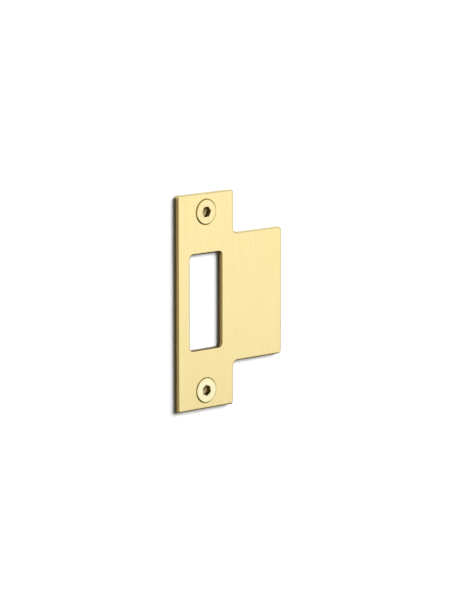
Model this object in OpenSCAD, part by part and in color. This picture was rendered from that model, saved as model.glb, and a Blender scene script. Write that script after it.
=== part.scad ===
// Door strike plate of sheet brass with two countersunk socket screws, in millimetres.
// The plate stands as it does on a door frame: +Z is up, and its front faces -Y.
// The origin is on the back face, level with the middle of the latch opening, where the tongue begins.
// Behind the plate, the screws point along +Y.

/* [Sheet] */
// Thickness of the brass sheet
sheet_t = 2; // [1.6:0.1:2.8]
// Radius that eases the edges of the front face
front_ease_r = 0.7; // [0.2:0.05:0.75]
// Radius that eases the edges of the back face
back_ease_r = 0.2; // [0.1:0.05:0.4]

/* [Fixing strip] */
// Height of the strip that is screwed to the door frame
strip_h = 80; // [70:1:110]
// Width of the strip
strip_w = 26.5; // [23:0.1:34]
// Radius of the strip's four corners
strip_corner_r = 1; // [0.8:0.1:3]

/* [Tongue] */
// Height of the tongue that the latch bolt slides along
tongue_h = 48; // [36:1:56]
// Reach of the tongue past the strip
tongue_w = 23.5; // [10:0.1:40]
// Radius of the tongue's two free corners
tongue_corner_r = 1.5; // [0.8:0.1:4]
// Radius of the two inner corners where the tongue leaves the strip
tongue_root_r = 1.8; // [1:0.1:3]

/* [Latch opening] */
// Height of the opening for the latch bolt
opening_h = 35; // [24:0.5:42]
// Width of the opening
opening_w = 14.7; // [10:0.1:17]
// Radius of the opening's corners
opening_corner_r = 1.3; // [1:0.1:3]

/* [Screw heads] */
// Distance from the strip's top and bottom edges to the screws
screw_inset = 7; // [6:0.1:10]
// Diameter of the flat head
head_d = 8.8; // [8:0.1:10]
// Height of the straight rim round the head
rim_h = 0.7; // [0.4:0.05:0.9]
// Bevel that breaks the rim's sharp edge
rim_bevel = 0.1; // [0.05:0.01:0.18]
// How far the head stands proud of the plate
head_proud = 0.3; // [0:0.05:0.35]
// Angle of the countersink, from side to side
countersink_angle = 90; // [82:1:100]
// Gap between the head's cone and the countersink
seat_clearance = 0.05; // [0.02:0.01:0.1]

/* [Hexagon sockets] */
// Width of the socket across its flats
socket_af = 3.7; // [2.5:0.1:4]
// Depth of the socket's flat walls
socket_depth = 2.2; // [1.2:0.1:2.6]
// Width of the round bevel at the middle of the mouth's six edges
socket_bevel = 0.06; // [0.02:0.01:0.15]
// Depth of the drill point below the flat walls
drill_point = 1; // [0.2:0.1:1.2]
// How far the upper socket is turned, in degrees
upper_turn = 3; // [-30:1:30]
// How far the lower socket is turned, in degrees
lower_turn = -21; // [-30:1:30]

/* [Screw shanks] */
// Length of the screw from the top of its head to its tip
screw_length = 16; // [13:1:40]
// Diameter of the plain shank
shank_d = 5; // [4:0.1:5.2]
// Length of the plain shank below the head's cone
shank_length = 2.5; // [1.5:0.5:4]
// Gap between the shank and the plate, where the sheet is thick enough to reach the shank
shank_clearance = 0.3; // [0.2:0.05:0.5]
// Diameter of the core that carries the thread
core_d = 3.4; // [2.6:0.1:3.8]
// Length of the pointed end
point_length = 3.5; // [2:0.5:5]

/* [Hidden] */
$fn = 96;
hexagon_sides = 6;
quarter_turn = 90;
brass = [0.93, 0.82, 0.53];
pale_brass = [0.97, 0.90, 0.66];

// How far every cut runs past the surface that it opens
overrun = 0.4;
// Flat left between the socket's walls and the drill point
drill_land = 0.05;
// Radius left at the screw's tip
tip_r = 0.15;
// Length over which the shank narrows to the core
neck_length = 0.8;

head_r = head_d / 2;
shank_r = shank_d / 2;
core_r = core_d / 2;
seat_slope = tan(countersink_angle / 2);
cone_h = (head_r - shank_r) / seat_slope;
// The countersink's mouth is as wide as the head's cone would be at the plate's face
mouth_r = head_r + (rim_h - head_proud) * seat_slope + seat_clearance;
socket_corner_r = socket_af / 2 / cos(quarter_turn / 3);
// The bevel breaks the middle of each flat's edge and leaves the corners sharp
socket_mouth_r = socket_af / 2 + socket_bevel;
drill_r = socket_af / 2 - drill_land;

strip_middle = -strip_w / 2;
screw_height = strip_h / 2 - screw_inset;

// Corners of the plate, anticlockwise, each with its place and its radius
OUTLINE = [
    [-strip_w, -strip_h / 2, strip_corner_r],
    [0, -strip_h / 2, strip_corner_r],
    [0, -tongue_h / 2, tongue_root_r],
    [tongue_w, -tongue_h / 2, tongue_corner_r],
    [tongue_w, tongue_h / 2, tongue_corner_r],
    [0, tongue_h / 2, tongue_root_r],
    [0, strip_h / 2, strip_corner_r],
    [-strip_w, strip_h / 2, strip_corner_r]
];
// Corners of the latch opening, clockwise, so that the brass is on the left hand here too
OPENING = [
    [strip_middle - opening_w / 2, -opening_h / 2, opening_corner_r],
    [strip_middle - opening_w / 2, opening_h / 2, opening_corner_r],
    [strip_middle + opening_w / 2, opening_h / 2, opening_corner_r],
    [strip_middle + opening_w / 2, -opening_h / 2, opening_corner_r]
];

function place(corner) = [corner[0], corner[1]];
function next(loop, i) = (i + 1) % len(loop);
function previous(loop, i) = (i + len(loop) - 1) % len(loop);
function unit(v) = v / norm(v);
// Direction of the edge that leaves a corner
function way(loop, i) = unit(place(loop[next(loop, i)]) - place(loop[i]));
function heading(v) = atan2(v[1], v[0]);
// An outer corner turns left, and an inner one turns right
function is_outer(loop, i) = cross(way(loop, previous(loop, i)), way(loop, i)) > 0;
// Where the round stretch of a corner has its centre
function round_centre(loop, i) =
    place(loop[i]) + loop[i][2] * (way(loop, i) - way(loop, previous(loop, i)));

// The sliver between a square corner and its round stretch
module corner_sliver(loop, i) {
    r = loop[i][2];
    middle = round_centre(loop, i);
    difference() {
        translate((place(loop[i]) + middle) / 2) square(r, center = true);
        translate(middle) circle(r);
    }
}

module square_cornered(loop) polygon([for (corner = loop) place(corner)]);

module opening_plan() {
    difference() {
        square_cornered(OPENING);
        for (i = [0 : len(OPENING) - 1]) corner_sliver(OPENING, i);
    }
}

// The plate seen from the front, with true arcs at every corner
module plate_plan() {
    corners = [0 : len(OUTLINE) - 1];
    difference() {
        union() {
            square_cornered(OUTLINE);
            for (i = corners) if (!is_outer(OUTLINE, i)) corner_sliver(OUTLINE, i);
        }
        for (i = corners) if (is_outer(OUTLINE, i)) corner_sliver(OUTLINE, i);
        opening_plan();
    }
}

// Section of what easing takes off an edge: x runs out of the brass and y runs down into it
module ease_section(r) {
    difference() {
        translate([-r, -overrun]) square(r + overrun);
        translate([-r, r]) circle(r);
    }
}

// Everything that easing takes off the edges of one face along one loop of corners.
// The face is at z = 0 with the brass below it.
module eased_loop(loop, r) {
    for (i = [0 : len(loop) - 1]) {
        start = place(loop[i]) + loop[i][2] * way(loop, i);
        end = place(loop[next(loop, i)]) - loop[next(loop, i)][2] * way(loop, i);
        translate(start)
            rotate([0, 0, heading(way(loop, i)) - quarter_turn])
                rotate([-quarter_turn, 0, 0])
                    linear_extrude(norm(end - start)) ease_section(r);
        outer = is_outer(loop, i);
        first = outer ? -way(loop, i) : way(loop, previous(loop, i));
        translate(round_centre(loop, i))
            rotate([0, 0, heading(first)])
                rotate_extrude(angle = quarter_turn)
                    translate([loop[i][2], 0])
                        mirror([outer ? 0 : 1, 0])
                            mirror([0, 1]) ease_section(r);
    }
}

module eased_face(r) {
    eased_loop(OUTLINE, r);
    eased_loop(OPENING, r);
}

// The countersunk hole for one screw, cut from the front face down
module countersink() {
    rotate_extrude()
        polygon([
            [0, overrun],
            [mouth_r + overrun * seat_slope, overrun],
            [0, -mouth_r / seat_slope]
        ]);
    translate([0, 0, -sheet_t - overrun])
        cylinder(h = sheet_t + overrun, r = shank_r + shank_clearance);
}

// The plate lies face up here, with its back at z = 0
module flat_plate() {
    difference() {
        linear_extrude(sheet_t) plate_plan();
        translate([0, 0, sheet_t]) eased_face(front_ease_r);
        mirror([0, 0, 1]) eased_face(back_ease_r);
        for (side = [-1, 1])
            translate([strip_middle, side * screw_height, sheet_t]) countersink();
    }
}

// One screw, head up, with the plate's front face at z = 0
module screw(turn) {
    top = head_proud;
    cone_top = top - rim_h;
    shank_top = cone_top - cone_h;
    neck_top = shank_top - shank_length;
    core_top = neck_top - neck_length;
    tip = top - screw_length;
    difference() {
        rotate_extrude()
            polygon([
                [0, top],
                [head_r - rim_bevel, top],
                [head_r, top - rim_bevel],
                [head_r, cone_top],
                [shank_r, shank_top],
                [shank_r, neck_top],
                [core_r, core_top],
                [core_r, tip + point_length],
                [tip_r, tip],
                [0, tip]
            ]);
        rotate([0, 0, turn])
            translate([0, 0, top - socket_depth])
                cylinder(
                    h = socket_depth + overrun,
                    r = socket_corner_r,
                    $fn = hexagon_sides
                );
        // The round bevel at the mouth and the drill point under the flat walls share one axis
        rotate_extrude()
            polygon([
                [0, top + overrun],
                [socket_mouth_r + overrun, top + overrun],
                [drill_r, top + drill_r - socket_mouth_r],
                [drill_r, top - socket_depth],
                [0, top - socket_depth - drill_point]
            ]);
    }
}

// Turns what lies face up so that it faces -Y
module upright() {
    rotate([quarter_turn, 0, 0]) children();
}

module seated_screw(height, turn) {
    upright() translate([strip_middle, height, sheet_t]) screw(turn);
}

module strike_plate() { color(brass) upright() flat_plate(); }
module upper_screw() { color(pale_brass) seated_screw(screw_height, upper_turn); }
module lower_screw() { color(pale_brass) seated_screw(-screw_height, lower_turn); }

strike_plate();
upper_screw();
lower_screw();
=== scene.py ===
"""Door strike plate of brushed brass, held flat against a white wall by two socket screws.

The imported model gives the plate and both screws. This script gives them their finishes, adds
the threads that the plain screws leave out, and sets up the wall, the light and the camera.
All lengths are in metres in Blender; fields that end in _mm are in millimetres.
"""

import logging
import math
from dataclasses import dataclass, field
from enum import Enum, IntEnum

import bmesh
import bpy
from mathutils import Matrix, Vector

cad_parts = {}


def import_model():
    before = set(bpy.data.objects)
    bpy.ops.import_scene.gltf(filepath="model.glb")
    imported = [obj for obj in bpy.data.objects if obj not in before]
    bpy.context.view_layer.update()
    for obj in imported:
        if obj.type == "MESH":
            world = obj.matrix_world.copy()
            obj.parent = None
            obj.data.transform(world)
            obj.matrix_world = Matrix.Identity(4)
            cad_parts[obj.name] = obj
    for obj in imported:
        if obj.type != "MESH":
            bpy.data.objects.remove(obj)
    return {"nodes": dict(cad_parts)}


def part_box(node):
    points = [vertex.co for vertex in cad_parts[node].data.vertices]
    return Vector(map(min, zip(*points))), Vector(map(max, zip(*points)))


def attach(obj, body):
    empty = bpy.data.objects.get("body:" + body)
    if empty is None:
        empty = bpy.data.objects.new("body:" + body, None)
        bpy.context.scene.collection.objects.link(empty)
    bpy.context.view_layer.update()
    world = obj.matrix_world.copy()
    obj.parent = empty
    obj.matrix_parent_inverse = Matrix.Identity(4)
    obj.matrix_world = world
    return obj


log = logging.getLogger("strike_plate")

MM = 0.001
BODY = "root"


class ScrewPlace(Enum):
    """The two places where a screw sits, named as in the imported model."""

    UPPER = "upper_screw"
    LOWER = "lower_screw"


class Ray(Enum):
    """Kinds of ray that the world tells apart: to the camera, through a piece, or off metal."""

    CAMERA = "Is Camera Ray"
    TRANSMISSION = "Is Transmission Ray"
    GLOSSY = "Is Glossy Ray"


class Rise(Enum):
    """How a value rises between two limits."""

    STRAIGHT = "LINEAR"
    SMOOTH = "SMOOTHSTEP"


class MixInput(IntEnum):
    """Inputs of the Mix node, which has a pair for numbers and another for colours."""

    FACTOR = 0
    NUMBER_A = 2
    NUMBER_B = 3
    COLOUR_A = 6
    COLOUR_B = 7


class MixOutput(IntEnum):
    """Outputs of the Mix node."""

    NUMBER = 0
    COLOUR = 2


def linear(hex_colour: str) -> tuple[float, float, float, float]:
    """Turn an sRGB colour into linear values.

    Args:
        hex_colour: Six hexadecimal digits, such as "F3E3AC".

    Returns:
        Red, green, blue and an alpha of 1.
    """
    channels = [int(hex_colour[i : i + 2], 16) / 255 for i in (0, 2, 4)]
    red, green, blue = [c / 12.92 if c <= 0.04045 else ((c + 0.055) / 1.055) ** 2.4 for c in channels]
    return red, green, blue, 1.0


def heading(azimuth: float, elevation: float) -> Vector:
    """Give the direction from the object to a place in the studio.

    Args:
        azimuth: Degrees round the object; 0 is straight in front of it, 90 is on its +X side.
        elevation: Degrees above the horizon.

    Returns:
        A unit vector.
    """
    a, e = math.radians(azimuth), math.radians(elevation)
    return Vector((math.sin(a) * math.cos(e), -math.cos(a) * math.cos(e), math.sin(e)))


def add_node(
    tree: bpy.types.NodeTree,
    kind: str,
    settings: dict[str | int, object] | None = None,
    links: dict[str | int, bpy.types.NodeSocket] | None = None,
) -> bpy.types.Node:
    """Add a node with its settings and its links.

    Args:
        tree: Node tree that gets the node.
        kind: Type of the node, without the leading "ShaderNode".
        settings: Values of inputs or of the node's own properties, by name or input number.
        links: Sockets that feed the inputs, by name or input number.

    Returns:
        The new node.
    """
    node = tree.nodes.new(f"ShaderNode{kind}")
    for key, value in (settings or {}).items():
        if isinstance(key, int) or key in node.inputs:
            node.inputs[key].default_value = value
        else:
            setattr(node, key, value)
    for key, socket in (links or {}).items():
        tree.links.new(socket, node.inputs[key])
    return node


def empty_material(name: str) -> bpy.types.Material:
    """Make a material without nodes in it, under the given name."""
    material = bpy.data.materials.new(name)
    material.use_nodes = True
    material.node_tree.nodes.clear()
    return material


def dress(piece: bpy.types.Object, material: bpy.types.Material) -> None:
    """Put one material on every slot of a piece."""
    if not piece.material_slots:
        piece.data.materials.append(material)
    for slot in piece.material_slots:
        slot.material = material


def new_piece(name: str, shape: bmesh.types.BMesh) -> bpy.types.Object:
    """Turn a finished bmesh into an object at the origin.

    Args:
        name: Name of the object and of its mesh.
        shape: The bmesh, which is freed here.

    Returns:
        The object, linked to the scene.
    """
    mesh = bpy.data.meshes.new(name)
    shape.to_mesh(mesh)
    shape.free()
    piece = bpy.data.objects.new(name, mesh)
    bpy.context.scene.collection.objects.link(piece)
    return piece


@dataclass(frozen=True)
class Corner:
    """A rounded corner of a flat outline."""

    x_mm: float
    z_mm: float
    radius_mm: float


@dataclass(frozen=True)
class Tone:
    """The two colours between which a finish varies."""

    light: str
    deep: str


@dataclass(frozen=True)
class Ramp:
    """Two places, between which a mask rises from 0 to 1. Either may be the lower one."""

    start_mm: float
    end_mm: float

    def limits(self) -> dict[str | int, object]:
        """Give both places as the limits of a Map Range node."""
        return {"From Min": self.start_mm * MM, "From Max": self.end_mm * MM}


@dataclass(frozen=True)
class Zone:
    """A rectangle of the plate, seen from the front, whose cut edges have a tone of their own."""

    tone: Tone
    middle_x_mm: float
    middle_z_mm: float
    half_width_mm: float
    half_height_mm: float


def mask(
    tree: bpy.types.NodeTree,
    borders: list[tuple[bpy.types.NodeSocket, Ramp]],
    rise: Rise = Rise.STRAIGHT,
) -> bpy.types.NodeSocket:
    """Mark what lies inside one or more borders.

    Args:
        tree: Node tree of the material.
        borders: Coordinates, each with the ramp that lies across the border.
        rise: How the mask rises on each ramp.

    Returns:
        The socket that carries 1 inside all the borders and 0 outside any of them.
    """
    risen = [
        add_node(
            tree,
            "MapRange",
            {"interpolation_type": rise.value, **ramp.limits()},
            {"Value": coordinate},
        ).outputs["Result"]
        for coordinate, ramp in borders
    ]
    inside = risen[0]
    for other in risen[1:]:
        both = add_node(tree, "Math", {"operation": "MULTIPLY"}, {0: inside, 1: other})
        inside = both.outputs["Value"]
    return inside


def metal_surface(tree: bpy.types.NodeTree, looks: dict[str, bpy.types.NodeSocket]) -> None:
    """Finish a material as metal.

    Args:
        tree: Node tree of the material.
        looks: Sockets that feed the shader's inputs, by name.
    """
    shader = add_node(tree, "BsdfPrincipled", {"Metallic": 1.0}, looks)
    add_node(tree, "OutputMaterial", links={"Surface": shader.outputs["BSDF"]})


@dataclass(frozen=True)
class BrushedBrass:
    """Sheet brass, brushed up and down with a fine abrasive belt, then lacquered satin.

    The brushing spreads each reflection, so the face looks like pale satin with fine upright
    lines. The belt didn't reach the cut edges: they are smoother and browner, brown partly as
    bare cut brass and partly as painted shade, and they mirror the shadow beside them, which is
    what makes the sheet look thick. The latch opening's walls are darker in painted shade, the
    upper and lower ones most. The countersinks are paler than the other cut edges, and the upper
    edges of the outline are paler in a painted highlight.
    """

    face: Tone = Tone("FAE9B1", "E6CE87")
    # The cut edges' brown is partly bare cut brass and partly painted shade
    edge: Tone = Tone("B29C62", "8E7946")
    # Painted shade on the latch opening's walls
    opening_shade: Tone = Tone("A88F5A", "826C40")
    # Deeper painted shade on the opening's upper and lower walls
    opening_end_shade: Tone = Tone("7A6A4A", "5C4F36")
    top_edge_highlight: Tone = Tone("CCBE8E", "A49569")
    countersunk: Tone = Tone("DDD192", "CABB76")
    roughness: float = 0.29
    roughness_spread: float = 0.035
    edge_roughness: float = 0.26
    # Along Y, the cut edges lie between the front face, at -2 mm, and the back face, at 0
    behind_front: Ramp = Ramp(-1.995, -1.94)
    before_back: Ramp = Ramp(-0.005, -0.03)
    zone_border_mm: float = 0.3
    line_mm: float = 0.16
    line_length_mm: float = 22.0
    streak_mm: float = 0.75
    streak_length_mm: float = 70.0
    mark_depth_mm: float = 50.0
    cloud_mm: float = 16.0
    saw_mark_mm: float = 0.6
    # How strongly the lines join the streaks, and between which sums the grain runs
    line_share: float = 0.55
    grain_range: tuple[float, float] = (0.48, 1.08)
    # How strongly the clouds join the grain, between which sums the face's colour runs, and how
    # much of the deep colour it holds at the lower and the upper one
    cloud_share: float = 0.35
    colour_range: tuple[float, float] = (0.35, 1.2)
    deep_shares: tuple[float, float] = (0.5, 0.02)
    bump_strength: float = 0.35
    scratch_depth_mm: float = 0.006

    def brush_marks(
        self, tree: bpy.types.NodeTree, place: bpy.types.NodeSocket, width_mm: float, length_mm: float
    ) -> bpy.types.NodeSocket:
        """Draw one size of upright brush mark.

        Args:
            tree: Node tree of the material.
            place: Object coordinates.
            width_mm: Width of a mark.
            length_mm: Length of a mark.

        Returns:
            The socket that carries the marks, from 0 to 1.
        """
        sizes_mm = (width_mm, self.mark_depth_mm, length_mm)
        stretched = add_node(
            tree,
            "Mapping",
            {"Scale": tuple(1 / (size_mm * MM) for size_mm in sizes_mm)},
            {"Vector": place},
        )
        marks = add_node(
            tree,
            "TexNoise",
            {"Scale": 1.0, "Detail": 2.0, "Roughness": 0.6},
            {"Vector": stretched.outputs["Vector"]},
        )
        return marks.outputs["Fac"]

    def grain(
        self, tree: bpy.types.NodeTree, lines: bpy.types.NodeSocket, streaks: bpy.types.NodeSocket
    ) -> bpy.types.NodeSocket:
        """Join the fine lines and the streaks.

        Args:
            tree: Node tree of the material.
            lines: The fine lines.
            streaks: The streaks.

        Returns:
            The socket that carries the grain, from 0 to 1.
        """
        both = add_node(
            tree,
            "Math",
            {"operation": "MULTIPLY_ADD", 1: self.line_share},
            {0: lines, 2: streaks},
        )
        low, high = self.grain_range
        grain = add_node(
            tree,
            "MapRange",
            {"From Min": low, "From Max": high},
            {"Value": both.outputs["Value"]},
        )
        return grain.outputs["Result"]

    def face_colour(
        self, tree: bpy.types.NodeTree, place: bpy.types.NodeSocket, grain: bpy.types.NodeSocket
    ) -> bpy.types.NodeSocket:
        """Colour the two brushed faces.

        Args:
            tree: Node tree of the material.
            place: Object coordinates.
            grain: The grain.

        Returns:
            The socket that carries the colour, deepest where the grain is weakest.
        """
        clouds = add_node(
            tree,
            "TexNoise",
            {"Scale": 1 / (self.cloud_mm * MM), "Detail": 2.0},
            {"Vector": place},
        )
        clouded = add_node(
            tree,
            "Math",
            {"operation": "MULTIPLY_ADD", 1: self.cloud_share},
            {0: clouds.outputs["Fac"], 2: grain},
        )
        low, high = self.colour_range
        deep_at_low, deep_at_high = self.deep_shares
        depth = add_node(
            tree,
            "MapRange",
            {"From Min": low, "From Max": high, "To Min": deep_at_low, "To Max": deep_at_high},
            {"Value": clouded.outputs["Value"]},
        )
        colour = add_node(
            tree,
            "Mix",
            {
                "data_type": "RGBA",
                MixInput.COLOUR_A: linear(self.face.light),
                MixInput.COLOUR_B: linear(self.face.deep),
            },
            {MixInput.FACTOR: depth.outputs["Result"]},
        )
        return colour.outputs[MixOutput.COLOUR]

    def cut_edge(
        self, tree: bpy.types.NodeTree, place: bpy.types.NodeSocket
    ) -> bpy.types.NodeSocket:
        """Mark everything that lies between the two brushed faces.

        Args:
            tree: Node tree of the material.
            place: Object coordinates.

        Returns:
            The socket that carries 1 on the cut edges and 0 on the faces.
        """
        along_y = add_node(tree, "SeparateXYZ", links={"Vector": place}).outputs["Y"]
        borders = [(along_y, self.behind_front), (along_y, self.before_back)]
        return mask(tree, borders, Rise.SMOOTH)

    def covered(
        self, tree: bpy.types.NodeTree, place: bpy.types.NodeSocket, zone: Zone
    ) -> bpy.types.NodeSocket:
        """Mark one zone of the plate.

        Args:
            tree: Node tree of the material.
            place: Object coordinates.
            zone: The zone.

        Returns:
            The socket that carries 1 in the zone and 0 outside, with a soft border.
        """
        centred = add_node(
            tree,
            "Mapping",
            {"Location": (-zone.middle_x_mm * MM, 0.0, -zone.middle_z_mm * MM)},
            {"Vector": place},
        )
        away = add_node(
            tree, "VectorMath", {"operation": "ABSOLUTE"}, {0: centred.outputs["Vector"]}
        )
        away_by = add_node(tree, "SeparateXYZ", links={"Vector": away.outputs["Vector"]})
        halves_mm = {"X": zone.half_width_mm, "Z": zone.half_height_mm}
        borders = [
            (away_by.outputs[axis], Ramp(half_mm + self.zone_border_mm, half_mm))
            for axis, half_mm in halves_mm.items()
        ]
        return mask(tree, borders)

    def edge_colour(
        self, tree: bpy.types.NodeTree, place: bpy.types.NodeSocket, zones: tuple[Zone, ...]
    ) -> bpy.types.NodeSocket:
        """Colour the cut edges, each zone in its own tone and all others brown.

        Args:
            tree: Node tree of the material.
            place: Object coordinates.
            zones: The zones, a later one over an earlier one.

        Returns:
            The socket that carries the colour.
        """
        marks = add_node(
            tree,
            "TexNoise",
            {"Scale": 1 / (self.saw_mark_mm * MM), "Detail": 3.0, "Roughness": 0.65},
            {"Vector": place},
        ).outputs["Fac"]
        # Edges outside the zones take the brown edge tone, which is partly painted shade
        tones = [
            add_node(
                tree,
                "Mix",
                {
                    "data_type": "RGBA",
                    MixInput.COLOUR_A: linear(tone.deep),
                    MixInput.COLOUR_B: linear(tone.light),
                },
                {MixInput.FACTOR: marks},
            ).outputs[MixOutput.COLOUR]
            for tone in (self.edge, *(zone.tone for zone in zones))
        ]
        colour = tones[0]
        for zone, own in zip(zones, tones[1:]):
            laid_over = add_node(
                tree,
                "Mix",
                {"data_type": "RGBA"},
                {
                    MixInput.FACTOR: self.covered(tree, place, zone),
                    MixInput.COLOUR_A: colour,
                    MixInput.COLOUR_B: own,
                },
            )
            colour = laid_over.outputs[MixOutput.COLOUR]
        return colour

    def material(self, name: str, zones: tuple[Zone, ...]) -> bpy.types.Material:
        """Build the finish.

        Args:
            name: Name of the material.
            zones: Where the cut edges have a tone of their own.

        Returns:
            The material.
        """
        material = empty_material(name)
        tree = material.node_tree
        place = add_node(tree, "TexCoord").outputs["Object"]
        # A belt of 180 grit leaves scratches about 0.05 mm wide; these are drawn three times as
        # wide, because finer ones don't show in the render. The streaks are where it bit harder.
        lines = self.brush_marks(tree, place, self.line_mm, self.line_length_mm)
        streaks = self.brush_marks(tree, place, self.streak_mm, self.streak_length_mm)
        grain = self.grain(tree, lines, streaks)
        cut = self.cut_edge(tree, place)
        colour = add_node(
            tree,
            "Mix",
            {"data_type": "RGBA"},
            {
                MixInput.FACTOR: cut,
                MixInput.COLOUR_A: self.face_colour(tree, place, grain),
                MixInput.COLOUR_B: self.edge_colour(tree, place, zones),
            },
        )
        face_rough = add_node(
            tree,
            "MapRange",
            {
                "To Min": self.roughness - self.roughness_spread,
                "To Max": self.roughness + self.roughness_spread,
            },
            {"Value": grain},
        )
        rough = add_node(
            tree,
            "Mix",
            {"data_type": "FLOAT", MixInput.NUMBER_B: self.edge_roughness},
            {MixInput.FACTOR: cut, MixInput.NUMBER_A: face_rough.outputs["Result"]},
        )
        bump = add_node(
            tree,
            "Bump",
            {"Strength": self.bump_strength, "Distance": self.scratch_depth_mm * MM},
            {"Height": lines},
        )
        metal_surface(
            tree,
            {
                "Base Color": colour.outputs[MixOutput.COLOUR],
                "Roughness": rough.outputs[MixOutput.NUMBER],
                "Normal": bump.outputs["Normal"],
            },
        )
        return material


@dataclass(frozen=True)
class TurnedBrass:
    """Bar brass, faced on a lathe, with a broached socket.

    The lathe leaves fine rings round the middle of the head, which catch the light as a soft
    sheen, and stains have dulled them in places. The socket is darkened inside in painted shade:
    its walls are a deeper brown than the head, and its floor is darker still. The shank is deeper
    in colour than the head.
    """

    face: Tone = Tone("F9EBB5", "EAD79A")
    # Painted shade inside the socket: the walls, and the darker floor
    socket: Tone = Tone("BEAA78", "938462")
    shank: str = "D2C57E"
    roughness: float = 0.3
    socket_roughness: float = 0.32
    ring_mm: float = 0.14
    stain_mm: float = 2.5
    worn_range: tuple[float, float] = (0.12, 0.42)
    bump_strength: float = 0.3
    ring_depth_mm: float = 0.006
    # Along Y, the head's face lies at -2.3 mm, the end of the socket's flat walls at -0.1 mm, and
    # the drill point's tip at 0.9 mm
    below_head: Ramp = Ramp(-2.15, -1.9)
    below_face: Ramp = Ramp(-2.26, -2.14)
    on_floor: Ramp = Ramp(-0.14, -0.1)
    above_tip: Ramp = Ramp(1.02, 1.0)
    # Away from the screw's axis, the socket's corners reach 2.14 mm
    within_socket: Ramp = Ramp(2.2, 2.14)

    def away_from(
        self, tree: bpy.types.NodeTree, place: bpy.types.NodeSocket, axis: Vector
    ) -> bpy.types.NodeSocket:
        """Measure the distance from the screw's axis.

        Args:
            tree: Node tree of the material.
            place: Object coordinates.
            axis: A point on the axis, which runs along Y.

        Returns:
            The socket that carries the distance in metres.
        """
        centred = add_node(
            tree, "Mapping", {"Location": (-axis.x, 0.0, -axis.z)}, {"Vector": place}
        )
        flattened = add_node(
            tree,
            "VectorMath",
            {"operation": "MULTIPLY", 1: (1.0, 0.0, 1.0)},
            {0: centred.outputs["Vector"]},
        )
        distance = add_node(
            tree, "VectorMath", {"operation": "LENGTH"}, {0: flattened.outputs["Vector"]}
        )
        return distance.outputs["Value"]

    def face_colour(
        self, tree: bpy.types.NodeTree, place: bpy.types.NodeSocket, rings: bpy.types.NodeSocket
    ) -> bpy.types.NodeSocket:
        """Colour the turned head.

        Args:
            tree: Node tree of the material.
            place: Object coordinates.
            rings: The rings that the tool left.

        Returns:
            The socket that carries the colour, deepest where rings and stains meet.
        """
        stains = add_node(
            tree,
            "TexNoise",
            {"Scale": 1 / (self.stain_mm * MM), "Detail": 2.0},
            {"Vector": place},
        )
        worn = add_node(
            tree, "Math", {"operation": "MULTIPLY"}, {0: rings, 1: stains.outputs["Fac"]}
        )
        low, high = self.worn_range
        depth = add_node(
            tree,
            "MapRange",
            {"From Min": low, "From Max": high},
            {"Value": worn.outputs["Value"]},
        )
        colour = add_node(
            tree,
            "Mix",
            {
                "data_type": "RGBA",
                MixInput.COLOUR_A: linear(self.face.light),
                MixInput.COLOUR_B: linear(self.face.deep),
            },
            {MixInput.FACTOR: depth.outputs["Result"]},
        )
        return colour.outputs[MixOutput.COLOUR]

    def material(self, name: str, axis: Vector) -> bpy.types.Material:
        """Build the finish.

        Args:
            name: Name of the material.
            axis: A point on the screw's axis, which runs along Y.

        Returns:
            The material.
        """
        material = empty_material(name)
        tree = material.node_tree
        place = add_node(tree, "TexCoord").outputs["Object"]
        along_y = add_node(tree, "SeparateXYZ", links={"Vector": place}).outputs["Y"]
        radius = self.away_from(tree, place, axis)
        # The tool's feed is about 0.05 mm a turn; the rings are drawn wider so that they show
        rings = add_node(
            tree,
            "TexNoise",
            {
                "noise_dimensions": "1D",
                "Scale": 1 / (self.ring_mm * MM),
                "Detail": 2.0,
                "Roughness": 0.6,
            },
            {"W": radius},
        ).outputs["Fac"]
        outside = add_node(
            tree,
            "Mix",
            {"data_type": "RGBA", MixInput.COLOUR_B: linear(self.shank)},
            {
                MixInput.FACTOR: mask(tree, [(along_y, self.below_head)]),
                MixInput.COLOUR_A: self.face_colour(tree, place, rings),
            },
        )
        # Painted shade inside the socket, darkest on its floor
        socket = add_node(
            tree,
            "Mix",
            {
                "data_type": "RGBA",
                MixInput.COLOUR_A: linear(self.socket.light),
                MixInput.COLOUR_B: linear(self.socket.deep),
            },
            {MixInput.FACTOR: mask(tree, [(along_y, self.on_floor)])},
        )
        borders = [
            (radius, self.within_socket),
            (along_y, self.below_face),
            (along_y, self.above_tip),
        ]
        inside = mask(tree, borders)
        colour = add_node(
            tree,
            "Mix",
            {"data_type": "RGBA"},
            {
                MixInput.FACTOR: inside,
                MixInput.COLOUR_A: outside.outputs[MixOutput.COLOUR],
                MixInput.COLOUR_B: socket.outputs[MixOutput.COLOUR],
            },
        )
        rough = add_node(
            tree,
            "MapRange",
            {"To Min": self.roughness, "To Max": self.socket_roughness},
            {"Value": inside},
        )
        bump = add_node(
            tree,
            "Bump",
            {"Strength": self.bump_strength, "Distance": self.ring_depth_mm * MM},
            {"Height": rings},
        )
        metal_surface(
            tree,
            {
                "Base Color": colour.outputs[MixOutput.COLOUR],
                "Roughness": rough.outputs["Result"],
                "Normal": bump.outputs["Normal"],
            },
        )
        return material


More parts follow.
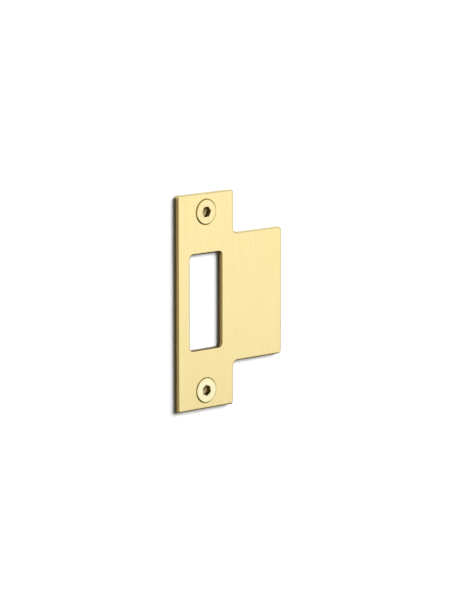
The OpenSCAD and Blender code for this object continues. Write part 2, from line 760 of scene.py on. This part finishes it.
@dataclass(frozen=True)
class RolledBrass:
    """Brass thread, rolled between dies.

    Rolling burnishes the brass and leaves paler, duller marks on it.
    """

    burnished: str = "C4A662"
    mark: str = "EBD592"
    burnished_roughness: float = 0.28
    mark_roughness: float = 0.42
    mark_mm: float = 0.5

    def material(self, name: str) -> bpy.types.Material:
        """Build the finish.

        Args:
            name: Name of the material.

        Returns:
            The material.
        """
        material = empty_material(name)
        tree = material.node_tree
        place = add_node(tree, "TexCoord").outputs["Object"]
        marks = add_node(
            tree,
            "TexNoise",
            {"Scale": 1 / (self.mark_mm * MM), "Detail": 3.0, "Roughness": 0.6},
            {"Vector": place},
        ).outputs["Fac"]
        colour = add_node(
            tree,
            "Mix",
            {
                "data_type": "RGBA",
                MixInput.COLOUR_A: linear(self.burnished),
                MixInput.COLOUR_B: linear(self.mark),
            },
            {MixInput.FACTOR: marks},
        )
        rough = add_node(
            tree,
            "MapRange",
            {"To Min": self.burnished_roughness, "To Max": self.mark_roughness},
            {"Value": marks},
        )
        metal_surface(
            tree,
            {
                "Base Color": colour.outputs[MixOutput.COLOUR],
                "Roughness": rough.outputs["Result"],
            },
        )
        return material


@dataclass(frozen=True)
class WallPaint:
    """Matt pale grey emulsion, which the key lamp brings up to white all round the shadow.

    The paint is one-sided, so a view from behind sees the back of the plate through it.
    """

    plain: str = "CACACA"

    def material(self, name: str) -> bpy.types.Material:
        """Build the finish.

        Args:
            name: Name of the material.

        Returns:
            The material.
        """
        material = empty_material(name)
        tree = material.node_tree
        paint = add_node(tree, "BsdfDiffuse", {"Color": linear(self.plain)})
        clear = add_node(tree, "BsdfTransparent")
        back = add_node(tree, "NewGeometry").outputs["Backfacing"]
        one_sided = add_node(
            tree,
            "MixShader",
            links={0: back, 1: paint.outputs["BSDF"], 2: clear.outputs["BSDF"]},
        )
        add_node(tree, "OutputMaterial", links={"Surface": one_sided.outputs["Shader"]})
        return material


@dataclass
class StrikePlate:
    """The flat brass plate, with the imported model's sizes."""

    strip_w_mm: float = 26.5
    strip_h_mm: float = 80.0
    tongue_w_mm: float = 23.5
    tongue_h_mm: float = 48.0
    opening_w_mm: float = 14.7
    opening_h_mm: float = 35.0
    strip_corner_r_mm: float = 1.0
    tongue_corner_r_mm: float = 1.5
    tongue_root_r_mm: float = 1.8
    opening_corner_r_mm: float = 1.3
    back_ease_r_mm: float = 0.2
    front_ease_r_mm: float = 0.7
    screw_inset_mm: float = 7.0
    countersink_r_mm: float = 4.9
    zone_margin_mm: float = 0.3
    node: str = "strike_plate"
    finish: BrushedBrass = field(default_factory=BrushedBrass)

    def middle_mm(self) -> float:
        """Tell where the strip's upright middle line is, along X."""
        return -self.strip_w_mm / 2

    def dress(self, piece: bpy.types.Object) -> None:
        """Give the plate its brushed finish."""
        dress(piece, self.finish.material("brushed_brass_sheet", self.zones()))

    def zones(self) -> tuple[Zone, ...]:
        """Find the zones whose cut edges have a tone of their own.

        Returns:
            The latch opening and its upper and lower walls, in painted shade; both upper edges of
            the outline, in a painted highlight; and both countersinks.
        """
        margin, middle = self.zone_margin_mm, self.middle_mm()
        past_ease = self.front_ease_r_mm + margin
        half_w, half_h = self.opening_w_mm / 2 + past_ease, self.opening_h_mm / 2 + past_ease
        # Painted shade on the opening's walls, deeper still on its upper and lower walls
        opening = Zone(self.finish.opening_shade, middle, 0.0, half_w, half_h)
        shaded_ends = (
            Zone(self.finish.opening_end_shade, middle, side * (half_h - past_ease / 2), half_w, past_ease / 2)
            for side in (1, -1)
        )
        away, half = self.strip_h_mm / 2 - self.screw_inset_mm, self.countersink_r_mm + margin
        countersinks = (
            Zone(self.finish.countersunk, middle, side * away, half, half) for side in (1, -1)
        )
        # A painted highlight on the upper edges of the outline
        highlit_upper_edges = (
            Zone(self.finish.top_edge_highlight, (left + end) / 2, height / 2, (end - left) / 2 + margin, past_ease)
            for left, end, height in (
                (-self.strip_w_mm, 0.0, self.strip_h_mm),
                (self.tongue_root_r_mm, self.tongue_w_mm, self.tongue_h_mm),
            )
        )
        return opening, *shaded_ends, *highlit_upper_edges, *countersinks

    def outline(self, inset_mm: float) -> list[Corner]:
        """List the corners of the plate's outline.

        Args:
            inset_mm: How far inside the plate's edge the outline runs.

        Returns:
            The corners, anticlockwise as seen from the front.
        """
        left, right = inset_mm - self.strip_w_mm, -inset_mm
        end, top = self.tongue_w_mm - inset_mm, self.strip_h_mm / 2 - inset_mm
        shoulder = self.tongue_h_mm / 2 - inset_mm
        strip_r, tip_r = self.strip_corner_r_mm - inset_mm, self.tongue_corner_r_mm - inset_mm
        root_r = self.tongue_root_r_mm + inset_mm
        lower = [
            Corner(left, -top, strip_r),
            Corner(right, -top, strip_r),
            Corner(right, -shoulder, root_r),
            Corner(end, -shoulder, tip_r),
        ]
        return lower + [Corner(c.x_mm, -c.z_mm, c.radius_mm) for c in reversed(lower)]

    def opening(self, outset_mm: float) -> list[Corner]:
        """List the corners of the latch opening.

        Args:
            outset_mm: How far outside the opening's edge the outline runs.

        Returns:
            The corners, anticlockwise as seen from the front.
        """
        middle = self.middle_mm()
        half_w = self.opening_w_mm / 2 + outset_mm
        half_h = self.opening_h_mm / 2 + outset_mm
        radius = self.opening_corner_r_mm + outset_mm
        return [
            Corner(middle + across * half_w, up * half_h, radius)
            for across, up in ((-1, -1), (1, -1), (1, 1), (-1, 1))
        ]

    def inset_at(self, depth_mm: float) -> float:
        """Tell how far inside the edge the eased back is, at a depth in front of the back face."""
        return self.back_ease_r_mm - math.sqrt(
            self.back_ease_r_mm**2 - (self.back_ease_r_mm - depth_mm) ** 2
        )


@dataclass
class WoodScrew:
    """A countersunk socket screw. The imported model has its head, shank and core.

    The thread starts low at the neck, is full after a few millimetres, and dies out to a share of
    its height at the tip. Its edges are shaded sharp from an angle in degrees.
    """

    place: ScrewPlace
    finish: TurnedBrass = field(default_factory=TurnedBrass)
    thread_finish: RolledBrass = field(default_factory=RolledBrass)
    core_r_mm: float = 1.7
    crest_r_mm: float = 2.45
    pitch_mm: float = 2.0
    turns: int = 5
    steps_a_turn: int = 48
    first_y_mm: float = 3.2
    full_y_mm: float = 4.6
    root_width_mm: float = 0.8
    crest_width_mm: float = 0.12
    sunk_mm: float = 0.15
    point_mm: float = 3.5
    tip_r_mm: float = 0.15
    least_rise: float = 0.05
    height_at_tip: float = 0.25
    sharp_angle: float = 35.0

    def axis(self) -> Vector:
        """Give the point where the screw's axis meets the wall."""
        low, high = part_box(self.place.value)
        return Vector(((low[0] + high[0]) / 2, 0.0, (low[2] + high[2]) / 2))

    def core_at(self, y_mm: float, tip_y_mm: float) -> float:
        """Give the core's radius at a depth, in millimetres.

        Args:
            y_mm: Depth behind the wall's face.
            tip_y_mm: Depth of the screw's tip.

        Returns:
            The radius, which shrinks along the point.
        """
        left = min(max((tip_y_mm - y_mm) / self.point_mm, 0.0), 1.0)
        return self.tip_r_mm + (self.core_r_mm - self.tip_r_mm) * left

    def build_thread(self) -> bpy.types.Object:
        """Wind the thread round the core, from the neck to the point.

        Returns:
            The thread, riding on the body.
        """
        axis = self.axis()
        tip_y_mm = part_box(self.place.value)[1][1] / MM
        base_r = self.core_r_mm - self.sunk_mm
        section = (
            (base_r, -self.root_width_mm / 2),
            (self.crest_r_mm, -self.crest_width_mm / 2),
            (self.crest_r_mm, self.crest_width_mm / 2),
            (base_r, self.root_width_mm / 2),
        )
        shape = bmesh.new()
        corners = [shape.verts.new((r, self.first_y_mm + y, 0.0)) for r, y in section]
        sides = [shape.edges.new((a, b)) for a, b in zip(corners, corners[1:] + corners[:1])]
        bmesh.ops.spin(
            shape,
            geom=corners + sides,
            cent=(0.0, 0.0, 0.0),
            axis=(0.0, 1.0, 0.0),
            dvec=(0.0, self.pitch_mm / self.steps_a_turn, 0.0),
            angle=math.tau * self.turns,
            steps=self.steps_a_turn * self.turns,
        )
        open_ends = [edge for edge in shape.edges if edge.is_boundary]
        bmesh.ops.holes_fill(shape, edges=open_ends, sides=len(section))
        self.taper(shape, base_r, tip_y_mm)
        bmesh.ops.recalc_face_normals(shape, faces=shape.faces)
        bmesh.ops.transform(
            shape, matrix=Matrix.Translation(axis) @ Matrix.Scale(MM, 4), verts=shape.verts
        )
        thread = new_piece(f"{self.place.value}_thread", shape)
        thread.data.shade_smooth()
        thread.data.set_sharp_from_angle(angle=math.radians(self.sharp_angle))
        dress(thread, self.thread_finish.material(f"rolled_brass_{self.place.name.lower()}"))
        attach(thread, BODY)
        return thread

    def taper(self, shape: bmesh.types.BMesh, base_r: float, tip_y_mm: float) -> None:
        """Let the thread rise from the neck and die out along the point.

        Args:
            shape: The thread, round the Y axis, in millimetres.
            base_r: Radius of the thread's sunk foot on the full core.
            tip_y_mm: Depth of the screw's tip.
        """
        lost_at_tip = 1.0 - self.height_at_tip
        for vert in shape.verts:
            radius = math.hypot(vert.co.x, vert.co.z)
            core = self.core_at(vert.co.y, tip_y_mm)
            rise = (vert.co.y - self.first_y_mm) / (self.full_y_mm - self.first_y_mm)
            left = self.height_at_tip + lost_at_tip * core / self.core_r_mm
            height = min(max(rise, self.least_rise), 1.0) * left
            foot = core * base_r / self.core_r_mm
            factor = (foot + (radius - base_r) * height) / radius
            vert.co.x *= factor
            vert.co.z *= factor

    def dress(self, piece: bpy.types.Object) -> None:
        """Give the screw its turned finish, centred on its axis."""
        name = f"turned_brass_{self.place.name.lower()}"
        dress(piece, self.finish.material(name, self.axis()))


@dataclass
class Wall:
    """The white wall that the plate lies against, cut out round the brass.

    The plate's own back covers the hole, so nothing white lies behind it in a view from the back.
    The hole's rim touches the eased edge of the plate's back, a little in front of its flat.
    """

    plate: StrikePlate
    half_width_mm: float = 400.0
    in_front_mm: float = 0.03
    tucked_in_mm: float = 0.01
    arc_steps: int = 8
    finish: WallPaint = field(default_factory=WallPaint)

    def draw(self, shape: bmesh.types.BMesh, corners: list[Corner]) -> None:
        """Add a flat sheet with rounded corners, as one face that looks towards the camera.

        Args:
            shape: The bmesh that gets the sheet.
            corners: The sheet's corners, anticlockwise as seen from the front.
        """
        verts = {corner: shape.verts.new((corner.x_mm, 0.0, corner.z_mm)) for corner in corners}
        shape.faces.new(list(verts.values()))
        for radius in {corner.radius_mm for corner in corners}:
            bmesh.ops.bevel(
                shape,
                geom=[verts[corner] for corner in corners if corner.radius_mm == radius],
                offset=radius,
                offset_type="OFFSET",
                affect="VERTICES",
                segments=self.arc_steps,
                profile=0.5,
                material=-1,
            )

    def build(self) -> bpy.types.Object:
        """Make the wall: a sheet with the plate's shape cut out, and a patch in the opening.

        Returns:
            The wall.
        """
        inset = self.plate.inset_at(self.in_front_mm) + self.tucked_in_mm
        shape = bmesh.new()
        facing = Matrix.Rotation(math.radians(90), 4, "X")
        bmesh.ops.create_grid(
            shape, x_segments=1, y_segments=1, size=self.half_width_mm, matrix=facing
        )
        self.draw(shape, self.plate.outline(inset))
        bmesh.ops.delete(shape, geom=shape.faces[:], context="FACES_ONLY")
        bmesh.ops.triangle_fill(
            shape, edges=shape.edges[:], normal=(0.0, -1.0, 0.0), use_beauty=True
        )
        self.draw(shape, self.plate.opening(inset))
        place = Matrix.Translation((0.0, -self.in_front_mm * MM, 0.0)) @ Matrix.Scale(MM, 4)
        bmesh.ops.transform(shape, matrix=place, verts=shape.verts)
        turned = [face for face in shape.faces if face.normal.y > 0]
        bmesh.ops.reverse_faces(shape, faces=turned)
        wall = new_piece("white_wall", shape)
        dress(wall, self.finish.material("matt_white_paint"))
        return wall


@dataclass(frozen=True)
class Softbox:
    """A soft rectangular lamp that points at the plate.

    Its angles are in degrees, its distance and sides in metres and its power in watts.
    """

    name: str
    azimuth: float
    elevation: float
    distance: float
    width: float
    height: float
    power: float
    seen_in_metal: bool = True

    def build(self) -> bpy.types.Object:
        """Hang the lamp.

        Returns:
            The lamp.
        """
        light = bpy.data.lights.new(self.name, "AREA")
        light.shape = "RECTANGLE"
        light.size, light.size_y = self.width, self.height
        light.energy = self.power
        lamp = bpy.data.objects.new(self.name, light)
        towards = heading(self.azimuth, self.elevation)
        lamp.location = towards * self.distance
        lamp.rotation_euler = towards.to_track_quat("Z", "Y").to_euler()
        lamp.visible_glossy = self.seen_in_metal
        bpy.context.scene.collection.objects.link(lamp)
        return lamp


@dataclass(frozen=True)
class Glow:
    """A soft bright region of the studio's walls, or a dark one where the strength is negative.

    It has its full strength up to the inner angle from its middle, and none past the outer one.
    """

    azimuth: float
    elevation: float
    inner: float
    outer: float
    strength: float


@dataclass
class Studio:
    """The pale room round the plate: its world and its lamps.

    The ambient light falls on the wall; the room and its glows are what metal mirrors.
    """

    white: str = "FFFFFF"
    ambient: float = 0.17
    room: float = 0.33
    # Azimuth, elevation, inner angle, outer angle and strength
    glows: tuple[Glow, ...] = (
        Glow(30, 14, 20, 50, 0.1),
        Glow(-45, -22, 12, 40, 0.7),
        Glow(8, 2, 8, 24, 0.12),
        Glow(-20, 2, 8, 24, 0.55),
        Glow(0, 32, 8, 28, 0.95),
        Glow(97, 0, 8, 32, 0.2),
        Glow(105, 42, 16, 44, 1.2),
        Glow(135, -12, 15, 55, 0.6),
        Glow(0, 80, 15, 70, 0.6),
        Glow(180, -5, 15, 50, 0.3),
        Glow(0, -90, 42, 72, -0.3),
    )
    # Name, azimuth, elevation, distance, width, height and power
    lamps: tuple[Softbox, ...] = (
        Softbox("front_softbox", 30, 12, 1.0, 1.15, 1.2, 3.4),
        Softbox("rear_softbox", 150, 25, 1.2, 0.8, 0.8, 3.0),
        Softbox("wall_key", 48, 26, 1.0, 0.9, 0.8, 37.5, seen_in_metal=False),
    )

    def mirrored(self, tree: bpy.types.NodeTree) -> bpy.types.NodeSocket:
        """Light the room that metal sees.

        Args:
            tree: Node tree of the world.

        Returns:
            The socket that carries the brightness in every direction.
        """
        towards = add_node(tree, "TexCoord").outputs["Generated"]
        # The first sum starts from the room's own brightness, and every other from the last sum
        so_far: dict[str | int, bpy.types.NodeSocket] = {}
        for glow in self.glows:
            closeness = add_node(
                tree,
                "VectorMath",
                {"operation": "DOT_PRODUCT", 1: heading(glow.azimuth, glow.elevation)},
                {0: towards},
            )
            lit = add_node(
                tree,
                "MapRange",
                {
                    "interpolation_type": Rise.SMOOTH.value,
                    "From Min": math.cos(math.radians(glow.outer)),
                    "From Max": math.cos(math.radians(glow.inner)),
                    "To Max": glow.strength,
                },
                {"Value": closeness.outputs["Value"]},
            )
            total = add_node(
                tree,
                "Math",
                {"operation": "ADD", 1: self.room},
                {0: lit.outputs["Result"], **so_far},
            )
            so_far = {1: total.outputs["Value"]}
        return so_far[1]

    def build_world(self) -> None:
        """Set up the world: white to look at, and a pale room with soft bright regions in metal."""
        world = bpy.data.worlds.new("studio")
        world.use_nodes = True
        tree = world.node_tree
        tree.nodes.clear()
        rays = add_node(tree, "LightPath")
        seen = add_node(
            tree,
            "Math",
            {"operation": "MAXIMUM"},
            {0: rays.outputs[Ray.CAMERA.value], 1: rays.outputs[Ray.TRANSMISSION.value]},
        )
        # Metal sees the pale room with its soft bright regions. Flat white would light an object
        # that is all metal evenly, and its edges and threads would lose their form.
        lighting = add_node(
            tree,
            "Mix",
            {"data_type": "FLOAT", MixInput.NUMBER_A: self.ambient},
            {
                MixInput.FACTOR: rays.outputs[Ray.GLOSSY.value],
                MixInput.NUMBER_B: self.mirrored(tree),
            },
        )
        strength = add_node(
            tree,
            "Mix",
            {"data_type": "FLOAT", MixInput.NUMBER_B: 1.0},
            {
                MixInput.FACTOR: seen.outputs["Value"],
                MixInput.NUMBER_A: lighting.outputs[MixOutput.NUMBER],
            },
        )
        background = add_node(
            tree,
            "Background",
            {"Color": linear(self.white)},
            {"Strength": strength.outputs[MixOutput.NUMBER]},
        )
        add_node(tree, "OutputWorld", links={"Surface": background.outputs["Background"]})
        bpy.context.scene.world = world

    def build(self) -> None:
        """Set up the world and hang every lamp."""
        self.build_world()
        for softbox in self.lamps:
            softbox.build()
            log.info("lamp %s", softbox.name)


@dataclass(frozen=True)
class PhotoCamera:
    """The camera, worked out from the photograph's straight edges and round heads."""

    azimuth: float = -40.35
    elevation: float = 10.28
    distance_mm: float = 1121.2
    looks_at_mm: tuple[float, float, float] = (-4.24, -2.0, -0.515)
    lens: float = 183.8
    sensor: float = 36.0
    nearest: float = 0.05
    farthest: float = 20.0

    def build(self) -> bpy.types.Object:
        """Set up the camera.

        Returns:
            The camera, which is also the scene's camera.
        """
        data = bpy.data.cameras.new("photo_camera")
        data.lens, data.sensor_width = self.lens, self.sensor
        data.clip_start, data.clip_end = self.nearest, self.farthest
        camera = bpy.data.objects.new("photo_camera", data)
        back = heading(self.azimuth, self.elevation)
        camera.location = (Vector(self.looks_at_mm) + back * self.distance_mm) * MM
        camera.rotation_euler = (-back).to_track_quat("-Z", "Y").to_euler()
        bpy.context.scene.collection.objects.link(camera)
        bpy.context.scene.camera = camera
        return camera


def main() -> None:
    """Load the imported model, dress it, and set up the studio round it."""
    logging.basicConfig(level=logging.INFO, format="%(name)s: %(message)s")
    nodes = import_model()["nodes"]
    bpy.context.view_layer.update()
    scene = bpy.context.scene
    scene.view_settings.view_transform = "Standard"

    plate = StrikePlate()
    plate.dress(nodes[plate.node])
    log.info("piece %s", plate.node)

    lower_finish = TurnedBrass(face=Tone("FFFACE", "F7EEBA"))
    screws = (WoodScrew(ScrewPlace.UPPER), WoodScrew(ScrewPlace.LOWER, finish=lower_finish))
    for screw in screws:
        screw.dress(nodes[screw.place.value])
        thread = screw.build_thread()
        log.info("pieces %s and %s", screw.place.value, thread.name)

    wall = Wall(plate).build()
    log.info("stage %s", wall.name)
    Studio().build()
    PhotoCamera().build()


if __name__ == "__main__":
    main()
